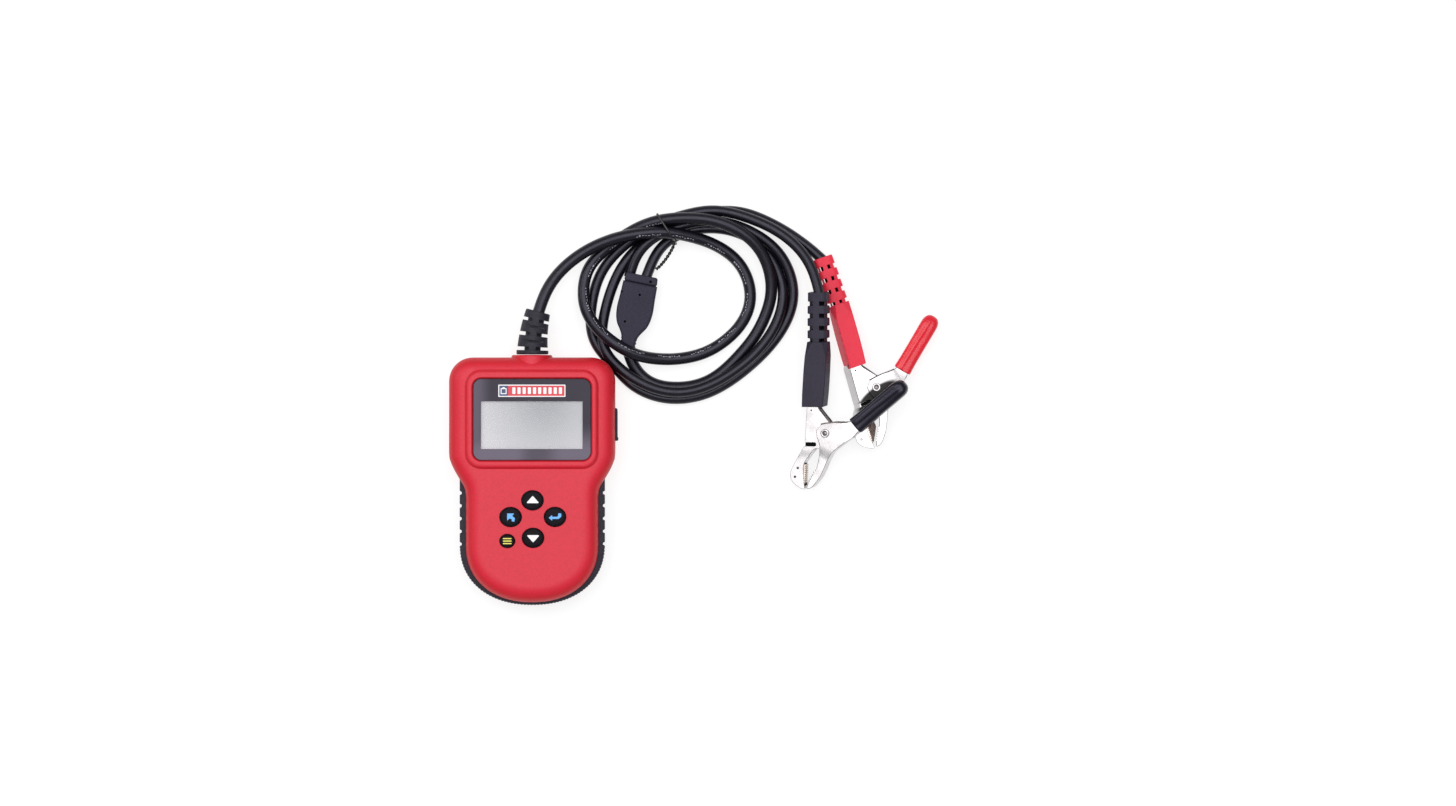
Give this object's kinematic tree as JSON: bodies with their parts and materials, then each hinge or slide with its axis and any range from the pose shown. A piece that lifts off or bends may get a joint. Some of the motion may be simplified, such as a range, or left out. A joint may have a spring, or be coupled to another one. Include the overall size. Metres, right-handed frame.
{
  "type": "battery tester",
  "caption": "Handheld battery tester with a framed display and round keys, its coiled test cable tied in a loop and splitting into a red and a black clamp lead.",
  "frame": {"origin": "on the flat rear face of the handset (the face it lies on), midway across the handset and midway along it", "axes": "+Y up the handset from its tail to the cable outlet, +X to the right as the display is read, +Z out of the display"},
  "size_m": [0.2488, 0.2043, 0.027],
  "materials": {
    "shell_red": "satin",
    "grip_rubber": "matte",
    "lens_dark": "gloss",
    "lcd_glass": "satin",
    "frame_white": "satin",
    "board_green": "satin",
    "chip_black": "matte",
    "ceramic_white": "matte",
    "header_white": "satin",
    "socket_steel": "satin",
    "key_black": "gloss",
    "switch_body": "satin",
    "mat_silicone": "matte",
    "screw_steel": "satin",
    "relief_rubber": "matte",
    "cable_jacket": "satin",
    "splitter_plastic": "matte",
    "boot_red": "satin",
    "boot_black": "satin",
    "sleeve_red": "gloss",
    "sleeve_black": "gloss",
    "nickel_sheet": "satin",
    "contact_copper": "satin",
    "spring_steel": "satin"
  },
  "bodies": {
    "handset": {"front_cover": "shell_red", "rear_cover": "shell_red", "grip_bumper": "grip_rubber", "display_lens": "lens_dark", "lcd_panel": "lcd_glass", "lcd_frame": "frame_white", "backlight_panel": "frame_white", "main_board": "board_green", "processor_chip": "chip_black", "load_resistor": "ceramic_white", "power_transistor": "chip_black", "buzzer": "chip_black", "cable_header": "header_white", "usb_socket": "socket_steel", "switch_up": "switch_body", "switch_down": "switch_body", "switch_back": "switch_body", "switch_enter": "switch_body", "switch_fn": "switch_body", "keypad_mat": "mat_silicone", "case_screw_1": "screw_steel", "case_screw_2": "screw_steel", "case_screw_3": "screw_steel", "case_screw_4": "screw_steel", "strain_relief": "relief_rubber", "cable_tail": "cable_jacket", "splitter_body": "splitter_plastic", "splitter_cap": "splitter_plastic", "cable_coil": "cable_jacket", "main_cable": "cable_jacket", "black_lead": "cable_jacket", "red_lead": "cable_jacket", "twist_tie": "cable_jacket", "red_boot": "boot_red", "red_fixed_arm": "nickel_sheet", "red_pivot_rivet": "nickel_sheet", "red_jaw_contact": "contact_copper", "red_torsion_spring": "spring_steel", "black_boot": "boot_black", "black_fixed_arm": "nickel_sheet", "black_pivot_rivet": "nickel_sheet", "black_jaw_contact": "contact_copper", "black_torsion_spring": "spring_steel"},
    "key_up_body": {"key_up": "key_black"},
    "key_down_body": {"key_down": "key_black"},
    "key_back_body": {"key_back": "key_black"},
    "key_enter_body": {"key_enter": "key_black"},
    "key_fn_body": {"key_fn": "key_black"},
    "port_flap": {"port_cover": "grip_rubber"},
    "red_jaw": {"red_moving_arm": "nickel_sheet", "red_handle_sleeve": "sleeve_red"},
    "black_jaw": {"black_moving_arm": "nickel_sheet", "black_handle_sleeve": "sleeve_black"}
  },
  "joints": [
    {"name": "key_up_press", "type": "slide", "parent": "handset", "child": "key_up_body", "axis": [0, 0, -1], "range_m": [0, 0.0008], "stiffness_N_per_m": 800, "springref_m": -0.0004},
    {"name": "key_down_press", "type": "slide", "parent": "handset", "child": "key_down_body", "axis": [0, 0, -1], "range_m": [0, 0.0008], "stiffness_N_per_m": 800, "springref_m": -0.0004},
    {"name": "key_back_press", "type": "slide", "parent": "handset", "child": "key_back_body", "axis": [0, 0, -1], "range_m": [0, 0.0008], "stiffness_N_per_m": 800, "springref_m": -0.0004},
    {"name": "key_enter_press", "type": "slide", "parent": "handset", "child": "key_enter_body", "axis": [0, 0, -1], "range_m": [0, 0.0008], "stiffness_N_per_m": 800, "springref_m": -0.0004},
    {"name": "key_fn_press", "type": "slide", "parent": "handset", "child": "key_fn_body", "axis": [0, 0, -1], "range_m": [0, 0.0008], "stiffness_N_per_m": 800, "springref_m": -0.0004},
    {"name": "port_flap_hinge", "type": "hinge", "parent": "handset", "child": "port_flap", "pos_m": [0.0422, 0.0354, 0.0135], "axis": [0, 0, 1], "range_deg": [0, 100]},
    {"name": "red_jaw_hinge", "type": "hinge", "parent": "handset", "child": "red_jaw", "pos_m": [0.1749, 0.0471, 0.00605], "axis": [0, 0, 1], "range_deg": [0, 28], "stiffness_Nm_per_rad": 0.3, "springref_deg": -20.05, "deforming": ["red_torsion_spring"]},
    {"name": "black_jaw_hinge", "type": "hinge", "parent": "handset", "child": "black_jaw", "pos_m": [0.1498, 0.0241, 0.01165], "axis": [-0.2415, -0.0774, 0.9673], "range_deg": [0, 28], "stiffness_Nm_per_rad": 0.3, "springref_deg": -20.05, "deforming": ["black_torsion_spring"]}
  ]
}
